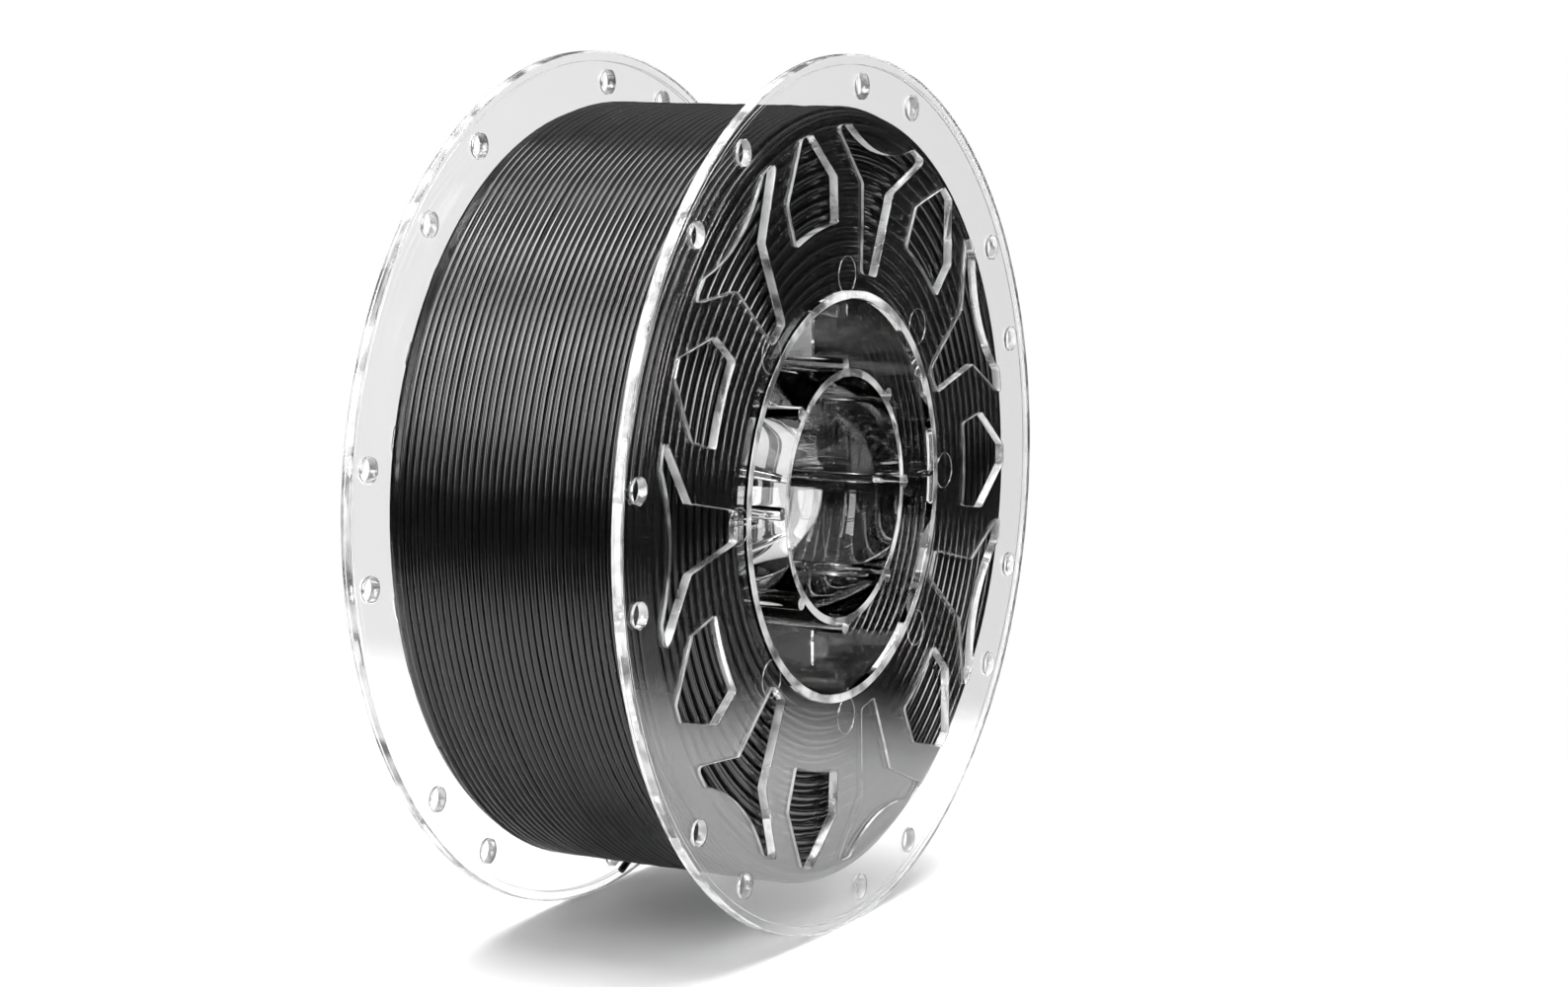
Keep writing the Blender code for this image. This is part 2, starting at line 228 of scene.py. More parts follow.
def set_surround():
    """A surround that is white to the eye and to matt surfaces, and a dark room to whatever mirrors it."""
    world = bpy.data.worlds.new("white_surround")
    bpy.context.scene.world = world
    world.use_nodes = True
    tree = world.node_tree
    tree.nodes.clear()
    direction = node(tree, "ShaderNodeTexCoord")
    axes = node(tree, "ShaderNodeSeparateXYZ", {"Vector": direction.outputs["Generated"]})
    # The room is dark up to head height and has a pale ceiling. Light that has run along inside the clear
    # walls, which is mirrored many times and has passed through them, comes out white.
    room = node(tree, "ShaderNodeMapRange", {
        "Value": axes.outputs["Z"], "From Min": ROOM_HEIGHTS[0], "From Max": ROOM_HEIGHTS[1],
        "To Min": ROOM_LEVELS[0], "To Max": ROOM_LEVELS[1]}, interpolation_type="SMOOTHSTEP")
    path = node(tree, "ShaderNodeLightPath")
    mirrored_ray = node(tree, "ShaderNodeMath", {
        0: path.outputs["Glossy Depth"], 1: 0.5}, operation="GREATER_THAN")
    guided = node(tree, "ShaderNodeMath", {
        0: path.outputs["Glossy Depth"], 1: GUIDED_MIRRORINGS}, operation="GREATER_THAN")
    inside = node(tree, "ShaderNodeMath", {
        0: path.outputs["Transmission Depth"], 1: 0.5}, operation="GREATER_THAN")
    white_end = node(tree, "ShaderNodeMath", {
        0: guided.outputs[0], 1: inside.outputs[0]}, operation="MULTIPLY")
    dark = node(tree, "ShaderNodeMath", {
        0: mirrored_ray.outputs[0], 1: white_end.outputs[0]}, operation="SUBTRACT")
    level = node(tree, "ShaderNodeMix", {0: dark.outputs[0], 2: 1.0, 3: room.outputs[0]}, data_type="FLOAT")
    background = node(tree, "ShaderNodeBackground", {"Color": srgb(WHITE), "Strength": level.outputs[0]})
    node(tree, "ShaderNodeOutputWorld", {"Surface": background.outputs[0]})


def set_studio():
    """A white table top that fades into a white surround, and soft boxes at the front, sides and top."""
    bpy.context.scene.view_settings.view_transform = "Standard"
    low = (-TABLE_SIDE_FADE[1], TABLE_FRONT_FADE[1])
    high = (TABLE_SIDE_FADE[1], TABLE_BACK_FADE[1])
    stage_plane("table_top", low, high, -FLANGE_RADIUS - TABLE_DROP, studio_paper())
    for name, (direction, size, radiance) in SOFTBOXES.items():
        softbox(name, direction, SOFTBOX_DISTANCE, size, radiance)
    # The table and the other matt surfaces have this light from above, which nothing mirrors.
    table_light = softbox("table_light", (0.0, 0.0, 1.0), TABLE_LIGHT_HEIGHT, TABLE_LIGHT_SIZE,
                          TABLE_LIGHT_RADIANCE)
    table_light.visible_diffuse = True
    table_light.visible_glossy = table_light.visible_transmission = False
    set_surround()


# ---------------------------------------------------------------- materials

def srgb(hex_colour):
    """An sRGB hex colour as linear red, green, blue and alpha."""
    channels = [int(hex_colour[start:start + 2], 16) / 255 for start in (1, 3, 5)]
    linear = [c / 12.92 if c <= 0.04045 else ((c + 0.055) / 1.055) ** 2.4 for c in channels]
    return (*linear, 1.0)


def node(tree, kind, inputs=None, **settings):
    """Adds a node with its settings; inputs maps a socket to a value or to another node's output."""
    added = tree.nodes.new(kind)
    for name, value in settings.items():
        setattr(added, name, value)
    for socket, value in (inputs or {}).items():
        if isinstance(value, bpy.types.NodeSocket):
            tree.links.new(value, added.inputs[socket])
        else:
            added.inputs[socket].default_value = value
    return added


def material(name):
    """An empty node material and its tree."""
    made = bpy.data.materials.new(name)
    made.use_nodes = True
    made.node_tree.nodes.clear()
    return made, made.node_tree


def clear_polystyrene():
    """Clear polystyrene, injection moulded: glossy, slightly wavy, with hairline scratches."""
    made, tree = material("clear_polystyrene")
    place = node(tree, "ShaderNodeTexCoord")
    # Handling marks: long thin streaks, drawn 0.4 mm wide because real ones are too fine to show.
    streaks = node(tree, "ShaderNodeMapping", {
        "Vector": place.outputs["Object"], "Rotation": (radians(31), 0.0, 0.0), "Scale": (300, 2600, 110)})
    scratch = node(tree, "ShaderNodeTexNoise", {"Vector": streaks.outputs[0], "Scale": 1.0, "Detail": 1.0})
    lines = node(tree, "ShaderNodeMapRange", {
        "Value": scratch.outputs["Fac"], "From Min": 0.74, "From Max": 0.80, "To Min": 0.0, "To Max": 1.0})
    # Flow marks: the moulded faces wave very slightly over 15 mm, which bends what is seen through them.
    flow = node(tree, "ShaderNodeTexNoise", {
        "Vector": place.outputs["Object"], "Scale": 65.0, "Detail": 0.0})
    waves = node(tree, "ShaderNodeBump", {
        "Height": flow.outputs["Fac"], "Strength": 0.08, "Distance": 0.06 * MM})
    marks = node(tree, "ShaderNodeBump", {
        "Height": lines.outputs[0], "Normal": waves.outputs[0], "Strength": 0.06, "Distance": 0.003 * MM})
    polish = node(tree, "ShaderNodeMapRange", {
        "Value": lines.outputs[0], "From Min": 0.0, "From Max": 1.0, "To Min": 0.012, "To Max": 0.12})
    shader = node(tree, "ShaderNodeBsdfPrincipled", {
        "Base Color": srgb(POLYSTYRENE_COLOUR), "Roughness": polish.outputs[0], "IOR": POLYSTYRENE_IOR,
        "Transmission Weight": 1.0, "Normal": marks.outputs[0]})
    node(tree, "ShaderNodeOutputMaterial", {"Surface": shader.outputs[0]})
    return made


def lit_edge():
    """The polystyrene's edges and window walls, made partly milky white: a painted glow standing in for the
    light that runs inside the plate and comes out there.
    """
    made, tree = material("polystyrene_edge_painted_glow")
    place = node(tree, "ShaderNodeTexCoord")
    # Milling marks of the mould, about 0.4 mm apart, and brighter and clearer stretches of the painted
    # glow, about 9 mm long.
    marks = node(tree, "ShaderNodeTexNoise", {
        "Vector": place.outputs["Object"], "Scale": 2400.0, "Detail": 1.0})
    grain = node(tree, "ShaderNodeBump", {
        "Height": marks.outputs["Fac"], "Strength": 0.1, "Distance": 0.02 * MM})
    stretches = node(tree, "ShaderNodeTexNoise", {
        "Vector": place.outputs["Object"], "Scale": 110.0, "Detail": 2.0})
    clearness = node(tree, "ShaderNodeMapRange", {
        "Value": stretches.outputs["Fac"], "From Min": 0.40, "From Max": 0.60,
        "To Min": 0.50, "To Max": 0.92})
    # The milky share of this finish, lit by the white surround, is the painted glow of the edges.
    shader = node(tree, "ShaderNodeBsdfPrincipled", {
        "Base Color": srgb(POLYSTYRENE_COLOUR), "Roughness": 0.10, "IOR": POLYSTYRENE_IOR,
        "Transmission Weight": clearness.outputs[0], "Normal": grain.outputs[0]})
    node(tree, "ShaderNodeOutputMaterial", {"Surface": shader.outputs[0]})
    return made


def black_filament():
    """Extruded black PLA strand: glossy, with faint cloudiness in the gloss and slight drag lines."""
    made, tree = material("black_extruded_filament")
    place = node(tree, "ShaderNodeTexCoord")
    cloud = node(tree, "ShaderNodeTexNoise", {
        "Vector": place.outputs["Object"], "Scale": 140.0, "Detail": 2.0})
    gloss = node(tree, "ShaderNodeMapRange", {
        "Value": cloud.outputs["Fac"], "From Min": 0.3, "From Max": 0.7, "To Min": 0.13, "To Max": 0.21})
    # The die leaves the skin uneven by a few microns every half millimetre or so.
    drag = node(tree, "ShaderNodeTexNoise", {
        "Vector": place.outputs["Object"], "Scale": 1500.0, "Detail": 1.0})
    skin = node(tree, "ShaderNodeBump", {
        "Height": drag.outputs["Fac"], "Strength": 0.05, "Distance": 0.01 * MM})
    colour = node(tree, "ShaderNodeMix", {
        "Factor": cloud.outputs["Fac"], 6: srgb(FILAMENT_DARK), 7: srgb(FILAMENT_PALE)}, data_type="RGBA")
    shader = node(tree, "ShaderNodeBsdfPrincipled", {
        "Base Color": colour.outputs[2], "Roughness": gloss.outputs[0], "IOR": FILAMENT_IOR,
        "Normal": skin.outputs[0]})
    node(tree, "ShaderNodeOutputMaterial", {"Surface": shader.outputs[0]})
    return made


def studio_paper():
    """Matt white studio paper with a trace of tooth, which fades out towards its edges."""
    made, tree = material("studio_paper")
    place = node(tree, "ShaderNodeTexCoord")
    tooth = node(tree, "ShaderNodeTexNoise", {
        "Vector": place.outputs["Object"], "Scale": 900.0, "Detail": 2.0})
    bump = node(tree, "ShaderNodeBump", {
        "Height": tooth.outputs["Fac"], "Strength": 0.05, "Distance": 0.05 * MM})
    paper = node(tree, "ShaderNodeBsdfPrincipled", {
        "Base Color": srgb(PAPER_COLOUR), "Roughness": 0.85, "Normal": bump.outputs[0]})
    nothing = node(tree, "ShaderNodeBsdfTransparent")
    axes = node(tree, "ShaderNodeSeparateXYZ", {"Vector": place.outputs["Object"]})
    sideways = node(tree, "ShaderNodeMath", {0: axes.outputs["X"]}, operation="ABSOLUTE")
    fades = [
        node(tree, "ShaderNodeMapRange", {"Value": place_along, "From Min": start, "From Max": end},
             interpolation_type="SMOOTHSTEP")
        for place_along, (start, end) in (
            (axes.outputs["Y"], TABLE_BACK_FADE), (axes.outputs["Y"], TABLE_FRONT_FADE),
            (sideways.outputs[0], TABLE_SIDE_FADE))
    ]
    ends = node(tree, "ShaderNodeMath", {
        0: fades[0].outputs[0], 1: fades[1].outputs[0]}, operation="MAXIMUM")
    fade = node(tree, "ShaderNodeMath", {
        0: ends.outputs[0], 1: fades[2].outputs[0]}, operation="MAXIMUM")
    shader = node(tree, "ShaderNodeMixShader", {
        0: fade.outputs[0], 1: paper.outputs[0], 2: nothing.outputs[0]})
    node(tree, "ShaderNodeOutputMaterial", {"Surface": shader.outputs[0]})
    return made


# ---------------------------------------------------------------- outlines

def polar(radius, angle):
    """A point on the flange; the angle runs clockwise from up, seen from outside."""
    return Vector((radius * sin(angle), radius * cos(angle)))


def turned(points, angle):
    """The points turned clockwise about the axis."""
    turn = Matrix.Rotation(-angle, 2)
    return [turn @ point for point in points]


def circle(centre, radius, sides):
    """A circle's corners, clockwise from its top."""
    return [centre + polar(radius, tau * side / sides) for side in range(sides)]


def mirrored(right_half):
    """Closes a half outline, listed from the centre line outwards and back, by its mirror image."""
    return right_half + [(Vector((-point.x, point.y)), radius) for point, radius in reversed(right_half)]


def rounded(corners, steps):
    """An outline whose corners, given as (point, radius), are rounded; radius 0 keeps a point."""
    outline = []
    for index, (corner, radius) in enumerate(corners):
        if radius == 0:
            outline.append(corner)
            continue
        before = corners[index - 1][0] - corner
        after = corners[(index + 1) % len(corners)][0] - corner
        half_angle = before.angle(after) / 2
        reach = min(radius * cos(half_angle) / sin(half_angle), 0.45 * before.length, 0.45 * after.length)
        start = corner + before.normalized() * reach
        end = corner + after.normalized() * reach
        for step in range(steps + 1):
            t = step / steps
            outline.append(start * (1 - t) ** 2 + corner * 2 * t * (1 - t) + end * t ** 2)
    return outline


def t_window():
    """The T shape, upright: a stem from near the drum, a neck, and two arms under the rim."""
    arm_angle, crest_angle, crest_drop, crest_steps = radians(15.5), radians(11.2), 5.3 * MM, 18
    stem = Vector((3.4 * MM, DRUM_RADIUS + 3.9 * MM))
    neck = Vector((7.5 * MM, WINDOW_TOP - 13.4 * MM))
    crest_end = polar(WINDOW_TOP, crest_angle)
    arm = polar(WINDOW_TOP, arm_angle)
    half = [(corner, WINDOW_CORNER_RADIUS) for corner in (stem, neck, arm, crest_end)]
    middle = Vector((0.0, WINDOW_TOP - crest_drop))
    for step in range(1, crest_steps // 2):
        share = 1 - step / (crest_steps // 2)
        half.append((Vector((crest_end.x * share, middle.y + (crest_end.y - middle.y) * share ** 2)), 0))
    outline = mirrored(half)
    outline.insert(len(half), (middle, 0))
    return rounded(outline, CORNER_STEPS)


def p_window():
    """The five-sided shape, upright: a curved base, two sides and a narrow blunt top."""
    half_angle, top_angle, base_steps = radians(9.2), radians(1.6), 9
    base_radius = WINDOW_TOP - 21.6 * MM
    half = [(polar(base_radius, half_angle * (2 * step + 1) / base_steps), 0)
            for step in range(base_steps // 2)]
    for corner in (polar(base_radius, half_angle), polar(WINDOW_TOP - 11.3 * MM, half_angle),
                   polar(WINDOW_TOP, top_angle)):
        half.append((corner, WINDOW_CORNER_RADIUS))
    return rounded(mirrored(half), CORNER_STEPS)


def tube_outline():
    """The bore tube's outside: the wall, and a half-round rib at every eighth of the turn."""
    tube_radius = BORE_RADIUS + TUBE_WALL
    rib_circle = tube_radius + RIB_STANDOFF
    # spread is half the rib's arc, up to where it meets the wall; foot is that place's angle about the axis
    spread = acos((tube_radius ** 2 - rib_circle ** 2 - RIB_RADIUS ** 2) / (2 * rib_circle * RIB_RADIUS))
    foot = Vector((0, 1)).angle(polar(rib_circle, 0) + polar(RIB_RADIUS, spread))
    rib_steps, wall_steps = 14, 24
    outline = []
    for rib in range(RIB_COUNT):
        angle = tau * rib / RIB_COUNT
        for step in range(rib_steps + 1):
            round_rib = polar(RIB_RADIUS, angle + spread * (2 * step / rib_steps - 1))
            outline.append(polar(rib_circle, angle) + round_rib)
        for step in range(1, wall_steps):
            along_wall = angle + foot + (tau / RIB_COUNT - 2 * foot) * step / wall_steps
            outline.append(polar(tube_radius, along_wall))
    return outline


# ---------------------------------------------------------------- mesh tools

def evaluated_mesh(scratch):
    """The plain mesh of a scratch object with its modifiers applied; the scratch object is removed."""
    mesh = bpy.data.meshes.new_from_object(scratch.evaluated_get(bpy.context.evaluated_depsgraph_get()))
    bpy.data.objects.remove(scratch)
    return mesh


def scratch_object(data):
    """An object that only carries data through its modifiers; evaluated_mesh removes it."""
    scratch = bpy.data.objects.new("scratch", data)
    bpy.context.scene.collection.objects.link(scratch)
    return scratch


def prism(outlines, low, high, edge_round=0.0):
    """Flat outlines extruded from low to high along local Z, with rounded edges; an inner one is a hole."""
    curve = bpy.data.curves.new("prism", "CURVE")
    curve.dimensions = "2D"
    curve.fill_mode = "BOTH"
    curve.extrude = (high - low) / 2 - edge_round
    curve.bevel_depth = edge_round
    curve.bevel_resolution = 1
    curve.offset = -edge_round
    for outline in outlines:
        spline = curve.splines.new("POLY")
        spline.points.add(len(outline) - 1)
        for spline_point, point in zip(spline.points, outline):
            spline_point.co = (point.x, point.y, 0.0, 1.0)
        spline.use_cyclic_u = True
    mesh = evaluated_mesh(scratch_object(curve))
    shape = bmesh.new()
    shape.from_mesh(mesh)
    bmesh.ops.remove_doubles(shape, verts=shape.verts, dist=MERGE_DISTANCE)
    bmesh.ops.translate(shape, verts=shape.verts, vec=(0.0, 0.0, (low + high) / 2))
    bmesh.ops.recalc_face_normals(shape, faces=shape.faces)
    shape.to_mesh(mesh)
    shape.free()
    return mesh


def turned_ring(corners):
    """A ring turned about local Z from a closed profile of ((radius, z), rounding), down its outer side."""
    profile = rounded([(Vector(point), radius) for point, radius in corners], RING_CORNER_STEPS)
    mesh = bpy.data.meshes.new("ring")
    edges = [(index, (index + 1) % len(profile)) for index in range(len(profile))]
    mesh.from_pydata([(point.x, 0.0, point.y) for point in profile], edges, [])
    scratch = scratch_object(mesh)
    screw = scratch.modifiers.new("turn", "SCREW")
    screw.steps = screw.render_steps = TURNED_STEPS
    screw.use_merge_vertices = True
    screw.merge_threshold = MERGE_DISTANCE
    return evaluated_mesh(scratch)


def combine(first, operation, others):
    """The first mesh joined with, or cut by, all the others."""
    operands = bpy.data.collections.new("operands")
    bpy.context.scene.collection.children.link(operands)
    for mesh in others:
        operands.objects.link(bpy.data.objects.new("operand", mesh))
    scratch = scratch_object(first)
    boolean = scratch.modifiers.new("combine", "BOOLEAN")
    boolean.operation = operation
    boolean.operand_type = "COLLECTION"
    boolean.collection = operands
    boolean.solver = "EXACT"
    result = evaluated_mesh(scratch)
    for operand in list(operands.objects):
        bpy.data.objects.remove(operand)
    bpy.data.collections.remove(operands)
    return result


def shade_moulded(mesh):
    """Smooth shading that keeps creases, and keeps flat faces flat right up to their rounded edges."""
    crease, slight_crease, flat_normal = radians(32), radians(1), 0.9999
    shape = bmesh.new()
    shape.from_mesh(mesh)
    for face in shape.faces:
        face.smooth = True
    for edge in shape.edges:
        if len(edge.link_faces) != 2:
            continue
        angle = edge.calc_face_angle(0.0)
        flat = [abs(face.normal.z) > flat_normal for face in edge.link_faces]
        edge.smooth = not (angle > crease or (flat[0] != flat[1] and angle > slight_crease))
    shape.to_mesh(mesh)
    shape.free()
    return mesh


def mark_edges(mesh):
    """Gives the faces where the plate, drum and tube end, in the half frame, the second material, the milky
    one with the painted glow.
    """
    steep_normal, margin = 0.8, 0.2 * MM
    drum_low, drum_high = DRUM_RADIUS - DRUM_WALL - 0.1 * MM, DRUM_RADIUS + margin
    above_plate = PLATE_FACE + 0.02 * MM
    for face in mesh.polygons:
        centre = face.center
        radius = Vector((centre.x, centre.y)).length
        wall = abs(face.normal.z) < steep_normal and radius > drum_high
        rim_back = radius > FLANGE_RADIUS - 0.5 * MM
        drum_end = drum_low < radius < drum_high and centre.z > above_plate
        tube_end = radius < DRUM_RADIUS - 3 * DRUM_WALL and centre.z > TUBE_END - margin
        face.material_index = 1 if wall or rim_back or drum_end or tube_end else 0


def add_piece(name, mesh, finishes):
    """A finished piece at the origin, on the root body, with its material slot."""
    mesh.name = name
    indices = [face.material_index for face in mesh.polygons]
    mesh.materials.clear()
    for finish in finishes:
        mesh.materials.append(finish)
    for face, index in zip(mesh.polygons, indices):
        face.material_index = index
    piece = bpy.data.objects.new(name, mesh)
    bpy.context.scene.collection.objects.link(piece)
    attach(piece, "root")
    return piece


# ---------------------------------------------------------------- the clear halves

def plate_mesh():
    """The flange's plate with its windows and rim holes, out to the middle of the rim."""
    pitch = tau / WINDOW_PAIRS
    outlines = [circle(Vector((0, 0)), FLANGE_RADIUS - RIM_WIDTH / 2, TURNED_STEPS),
                circle(Vector((0, 0)), DRUM_RADIUS - DRUM_WALL / 2, TURNED_STEPS)]
    for index in range(WINDOW_PAIRS):
        angle = FIRST_T_ANGLE + index * pitch
        if index != BLIND_T_INDEX:
            outlines.append(turned(t_window(), angle))
        outlines.append(turned(p_window(), angle + pitch / 2))
        for side in (-1, 1):
            centre = polar(FLANGE_RADIUS - RIM_HOLE_INSET, angle + side * RIM_HOLE_ANGLE)
            outlines.append(circle(centre, RIM_HOLE_RADIUS, RIM_HOLE_SIDES))
    return prism(outlines, PLATE_INNER_FACE, PLATE_FACE, EDGE_ROUND)


def web_meshes():
    """The four webs, each with the thinner tab that runs on outwards along the drum."""
    inside = BORE_RADIUS + TUBE_WALL / 2
    outside = DRUM_RADIUS - DRUM_WALL / 2
    tab = DRUM_RADIUS - DRUM_WALL - WEB_TAB_DEPTH
    edge = TUBE_END - WEB_RECESS
    tab_edge = tab + WEB_TAB_STEP
    tab_base = PLATE_INNER_FACE - SINK
    web = [(Vector((inside, HALF_SPLIT)), 0), (Vector((outside, HALF_SPLIT)), 0),
           (Vector((outside, PLATE_INNER_FACE)), 0), (Vector((tab, PLATE_INNER_FACE)), WEB_FOOT_RADIUS),
           (Vector((tab, edge)), WEB_CORNER_RADIUS), (Vector((inside, edge)), 0)]
    thin = [(Vector((tab_edge, tab_base)), 0), (Vector((outside, tab_base)), 0),
            (Vector((outside, PLATE_FACE)), 0), (Vector((tab_edge, PLATE_FACE)), WEB_TAB_RADIUS)]
    meshes = []
    for corners, thickness in ((web, WEB_THICKNESS), (thin, WEB_TAB_THICKNESS)):
        for index in range(WEB_COUNT):
            mesh = prism([rounded(corners, WEB_CORNER_STEPS)], -thickness / 2, thickness / 2, WEB_ROUND)
            upright = Matrix.Rotation(pi / 2, 4, "X")
            mesh.transform(Matrix.Rotation(tau * index / WEB_COUNT, 4, "Z") @ upright)
            meshes.append(mesh)
    return meshes


def half_moulding():
    """One clear half, in the half frame: plate, rim, drum wall, ribbed bore tube and webs, as one body."""
    rim_inside = FLANGE_RADIUS - RIM_WIDTH
    rim = turned_ring([
        ((FLANGE_RADIUS, RIM_FACE), RIM_OUTER_ROUND), ((FLANGE_RADIUS, RIM_INNER_FACE), RIM_OUTER_ROUND),
        ((rim_inside, RIM_INNER_FACE), RIM_INNER_ROUND), ((rim_inside, RIM_FACE), RIM_INNER_ROUND)])
    drum_inside = DRUM_RADIUS - DRUM_WALL
    drum = turned_ring([
        ((DRUM_RADIUS, RIM_FACE), DRUM_END_ROUND), ((DRUM_RADIUS, HALF_SPLIT), 0),
        ((drum_inside, HALF_SPLIT), 0), ((drum_inside, RIM_FACE), DRUM_END_ROUND)])
    bore = circle(Vector((0, 0)), BORE_RADIUS, TURNED_STEPS)
    tube = prism([tube_outline(), bore], HALF_SPLIT, TUBE_END, TUBE_ROUND)
    moulding = combine(plate_mesh(), "UNION", [rim, drum, tube, *web_meshes()])
    blind = prism([turned(t_window(), FIRST_T_ANGLE + BLIND_T_INDEX * tau / WINDOW_PAIRS)],
                  PLATE_FACE - BLIND_DEPTH, PLATE_FACE + 1.0 * MM)
    return shade_moulded(combine(moulding, "DIFFERENCE", [blind]))


def add_halves(plastic, edge):
    """The front half and, turned about the vertical axis, the same moulding as the back half."""
    front = half_moulding()
    mark_edges(front)
    back = front.copy()
    for side, mesh, placing in (("front", front, FRONT), ("back", back, BACK)):
        mesh.transform(placing)
        piece = add_piece(side + "_clear_half", mesh, (plastic, edge))
        webs = [f"{side}_web_{index + 1}" for index in range(WEB_COUNT)]
        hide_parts(side + "_flange", side + "_drum_half", side + "_bore_tube", *webs)


# ---------------------------------------------------------------- geometry node trees

def geometry_tree(name, sizes):
    """A geometry tree with named number inputs, given as (name, kind, default), and a material input."""
    tree = bpy.data.node_groups.new(name, "GeometryNodeTree")
    for socket_name, kind, default in sizes:
        socket = tree.interface.new_socket(socket_name, in_out="INPUT", socket_type="NodeSocket" + kind)
        socket.default_value = default
    tree.interface.new_socket("Material", in_out="INPUT", socket_type="NodeSocketMaterial")
    tree.interface.new_socket("Geometry", in_out="OUTPUT", socket_type="NodeSocketGeometry")
    return tree, node(tree, "NodeGroupInput").outputs


def close_tree(tree, geometry, finish):
    """Ends a tree: its instances are made real and take their material."""
    real = node(tree, "GeometryNodeRealizeInstances", {"Geometry": geometry})
    finished = node(tree, "GeometryNodeSetMaterial", {"Geometry": real.outputs[0], "Material": finish})
    node(tree, "NodeGroupOutput", {"Geometry": finished.outputs[0]})


def grown_mesh(tree, values):
    """The plain mesh that a tree makes from these input values."""
    scratch = scratch_object(bpy.data.meshes.new("scratch"))
    modifier = scratch.modifiers.new("grow", "NODES")
    modifier.node_group = tree
    for item in tree.interface.items_tree:
        if item.in_out == "INPUT" and item.name in values:
            modifier[item.identifier] = values[item.name]
    return evaluated_mesh(scratch)


def strand_tree():
    """A round strand along a spiral or helix about local Z, with the small wander of a real winding."""
    tree, given = geometry_tree("wound_strand", [
        ("Turns", "Float", 1.0), ("Start Radius", "Float", DRUM_RADIUS),
        ("End Radius", "Float", DRUM_RADIUS), ("Height", "Float", 0.0),
        ("Strand Radius", "Float", STRAND_RADIUS), ("Points Per Turn", "Int", TURN_POINTS),
        ("Sides", "Int", STRAND_SIDES),
        ("Radial Wander", "Float", 0.0), ("Side Wander", "Float", 0.0), ("Wander Scale", "Float", 40.0),
        ("Turn Contrast", "Float", 8.0), ("Seed", "Float", 0.0)])
    spiral = node(tree, "GeometryNodeCurveSpiral", {
        "Resolution": given["Points Per Turn"], "Rotations": given["Turns"], "Height": given["Height"],
        "Start Radius": given["Start Radius"], "End Radius": given["End Radius"]})
    position = node(tree, "GeometryNodeInputPosition")
    stretch = node(tree, "ShaderNodeCombineXYZ", {"X": 1.0, "Y": 1.0, "Z": given["Turn Contrast"]})
    spread = node(tree, "ShaderNodeVectorMath", {
        0: position.outputs[0], 1: stretch.outputs[0]}, operation="MULTIPLY")
    noise = node(tree, "ShaderNodeTexNoise", {
        "Vector": spread.outputs[0], "W": given["Seed"], "Scale": given["Wander Scale"], "Detail": 1.0},
        noise_dimensions="4D")
    centred = node(tree, "ShaderNodeVectorMath", {
        0: noise.outputs["Color"], 1: (0.5, 0.5, 0.5)}, operation="SUBTRACT")
    amount = node(tree, "ShaderNodeCombineXYZ", {
        "X": given["Radial Wander"], "Y": given["Radial Wander"], "Z": given["Side Wander"]})
    offset = node(tree, "ShaderNodeVectorMath", {
        0: centred.outputs[0], 1: amount.outputs[0]}, operation="MULTIPLY")
    wandered = node(tree, "GeometryNodeSetPosition", {
        "Geometry": spiral.outputs[0], "Offset": offset.outputs[0]})
    section = node(tree, "GeometryNodeCurvePrimitiveCircle", {
        "Resolution": given["Sides"], "Radius": given["Strand Radius"]})
    strand = node(tree, "GeometryNodeCurveToMesh", {
        "Curve": wandered.outputs[0], "Profile Curve": section.outputs[0], "Fill Caps": True})
    smooth = node(tree, "GeometryNodeSetShadeSmooth", {"Geometry": strand.outputs[0]})
    close_tree(tree, smooth.outputs[0], given["Material"])
    return tree


def ejector_tree():
    """Thin round lines, evenly spaced on a circle about local Z, where ejector pins met the plate."""
    tree, given = geometry_tree("ejector_rings", [
        ("Count", "Int", EJECTOR_COUNT), ("Circle Radius", "Float", EJECTOR_CIRCLE),
        ("Ring Radius", "Float", EJECTOR_RADIUS), ("Line Radius", "Float", EJECTOR_LINE)])
    places = node(tree, "GeometryNodeMeshCircle", {
        "Vertices": given["Count"], "Radius": given["Circle Radius"]})
    ring = node(tree, "GeometryNodeCurvePrimitiveCircle", {
        "Resolution": 64, "Radius": given["Ring Radius"]})
    line = node(tree, "GeometryNodeCurvePrimitiveCircle", {
        "Resolution": 6, "Radius": given["Line Radius"]})
    bead = node(tree, "GeometryNodeCurveToMesh", {
        "Curve": ring.outputs[0], "Profile Curve": line.outputs[0]})
    beads = node(tree, "GeometryNodeInstanceOnPoints", {
        "Points": places.outputs[0], "Instance": bead.outputs[0]})
    close_tree(tree, beads.outputs[0], given["Material"])
    return tree


def add_ejector_rings(plastic):
    """The rings that the ejector pins left on both plates, just proud of them."""
    values = {"Count": EJECTOR_COUNT, "Circle Radius": EJECTOR_CIRCLE, "Ring Radius": EJECTOR_RADIUS,
              "Line Radius": EJECTOR_LINE, "Material": plastic}
    tree = ejector_tree()
    for side, placing in (("front", FRONT), ("back", BACK)):
        rings = grown_mesh(tree, values)
        rings.shade_smooth()
        rings.transform(placing @ Matrix.Translation((0.0, 0.0, PLATE_FACE + EJECTOR_LINE + EJECTOR_LIFT)))
        add_piece(side + "_ejector_rings", rings, (plastic,))


# ---------------------------------------------------------------- the filament

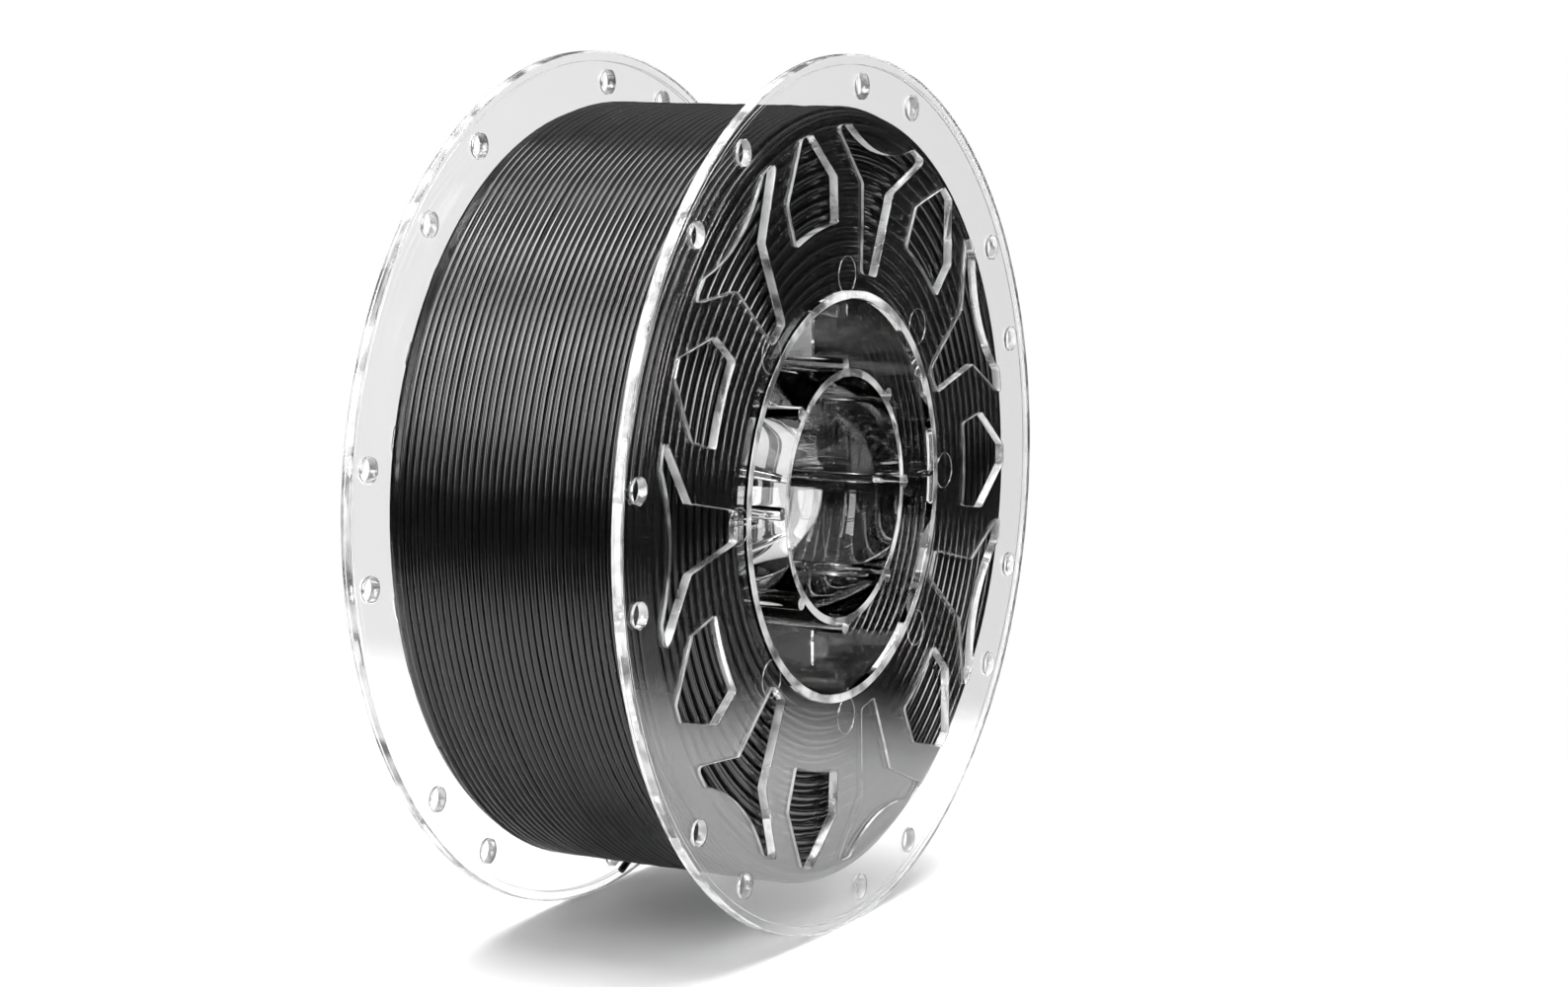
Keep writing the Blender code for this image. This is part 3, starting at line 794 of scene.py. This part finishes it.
def add_winding(filament):
    """The dark body under the strands that show, and the layers and side turns that do show."""
    inner, outer = DRUM_RADIUS + 0.3 * MM, WINDING_RADIUS
    core_outside, core_inside, core_end = outer - CORE_DEPTH, inner + CORE_DEPTH, WINDING_END - CORE_DEPTH
    core = turned_ring([
        ((core_outside, core_end), CORE_ROUND), ((core_outside, -core_end), CORE_ROUND),
        ((core_inside, -core_end), 0), ((core_inside, core_end), 0)])
    core.transform(FRONT)
    core.shade_smooth()
    body = add_piece("wound_layers", core, (filament,))
    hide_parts("filament_winding")

    tree = strand_tree()
    shared = {"Strand Radius": STRAND_RADIUS, "Points Per Turn": TURN_POINTS, "Sides": STRAND_SIDES,
              "Material": filament}
    first, last = -WINDING_END + STRAND_RADIUS, WINDING_END - STRAND_RADIUS
    side_inside, side_outside = inner + STRAND_RADIUS, outer - STRAND_RADIUS
    shoulder_foot = side_outside - SHOULDER_DEPTH
    side_top = side_outside - SIDE_TOP_DEPTH
    # Every other layer ends further from the flange, so near and deep side turns alternate.
    side_turns = (side_top - side_inside) / (2 * LAYER_STEP)
    wound = {
        "outer_layer": (first + 2.7 * MM, {
            "Sides": OUTER_LAYER_SIDES, "Turns": LAYER_TURNS - 2.4, "Start Radius": side_outside,
            "End Radius": side_outside, "Height": last - first - 3.9 * MM, "Radial Wander": 0.55 * MM,
            "Side Wander": 0.45 * MM, "Wander Scale": 22.0, "Turn Contrast": 16.0, "Seed": 3.0}),
        "front_shoulder_turns": (last, {
            "Turns": 2.6, "Start Radius": shoulder_foot, "End Radius": side_outside,
            "Height": -1.4 * MM, "Radial Wander": 1.6 * MM, "Side Wander": 0.6 * MM, "Wander Scale": 9.0,
            "Seed": 12.0}),
        "back_shoulder_turns": (first, {
            "Turns": 2.4, "Start Radius": shoulder_foot, "End Radius": side_outside - 0.9 * MM,
            "Height": 1.5 * MM, "Radial Wander": 0.9 * MM, "Side Wander": 0.5 * MM, "Wander Scale": 9.0,
            "Seed": 15.0}),
        "inner_layer": (first, {
            "Turns": LAYER_TURNS, "Start Radius": side_inside, "End Radius": side_inside,
            "Height": last - first, "Radial Wander": 0.1 * MM, "Side Wander": 0.4 * MM,
            "Wander Scale": 30.0, "Turn Contrast": 16.0, "Seed": 21.0}),
    }
    for side, place, inward, seed in (("front", last, -1, 5.0), ("back", first, 1, 9.0)):
        for level, depth_in, shift in (("near", 0.0, 0.0), ("deep", DEEP_TURNS_INWARD, LAYER_STEP)):
            wound[f"{side}_{level}_turns"] = (place + inward * depth_in, {
                "Turns": side_turns, "Start Radius": side_inside + shift, "End Radius": side_top + shift,
                "Radial Wander": 1.1 * MM, "Side Wander": 0.35 * MM, "Wander Scale": 16.0,
                "Seed": seed + depth_in / MM})
    for name, (start, values) in wound.items():
        mesh = grown_mesh(tree, {**shared, **values})
        mesh.transform(FRONT @ Matrix.Translation((0.0, 0.0, start)))
        add_piece(name, mesh, (filament,))


def smooth_route(route, steps):
    """Points on a smooth curve through the route's points."""
    points = [Vector(point) for point in route]
    ends = [points[0] * 2 - points[1], *points, points[-1] * 2 - points[-2]]
    smooth = []
    for leg in range(len(points) - 1):
        before, start, end, after = ends[leg:leg + 4]
        for step in range(steps):
            t = step / steps
            smooth.append(0.5 * (
                2 * start + (end - before) * t
                + (2 * before - 5 * start + 4 * end - after) * t ** 2
                + (3 * start - before - 3 * end + after) * t ** 3
            ))
    return smooth + [points[-1]]


def add_free_end(filament):
    """The strand's cut end, which springs away from the winding beside the back flange."""
    curve = bpy.data.curves.new("filament_free_end", "CURVE")
    curve.dimensions = "3D"
    curve.bevel_depth = STRAND_RADIUS
    curve.bevel_resolution = 3
    curve.use_fill_caps = True
    curve.materials.append(filament)
    points = smooth_route(FREE_END_ROUTE, FREE_END_STEPS)
    spline = curve.splines.new("POLY")
    spline.points.add(len(points) - 1)
    for spline_point, point in zip(spline.points, points):
        spline_point.co = (*point, 1.0)
    piece = bpy.data.objects.new("strand_free_end", curve)
    bpy.context.scene.collection.objects.link(piece)
    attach(piece, "root")
    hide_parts("filament_free_end")


set_camera()
set_studio()
plastic_finish = clear_polystyrene()
add_halves(plastic_finish, lit_edge())
add_ejector_rings(plastic_finish)
filament_finish = black_filament()
add_winding(filament_finish)
add_free_end(filament_finish)
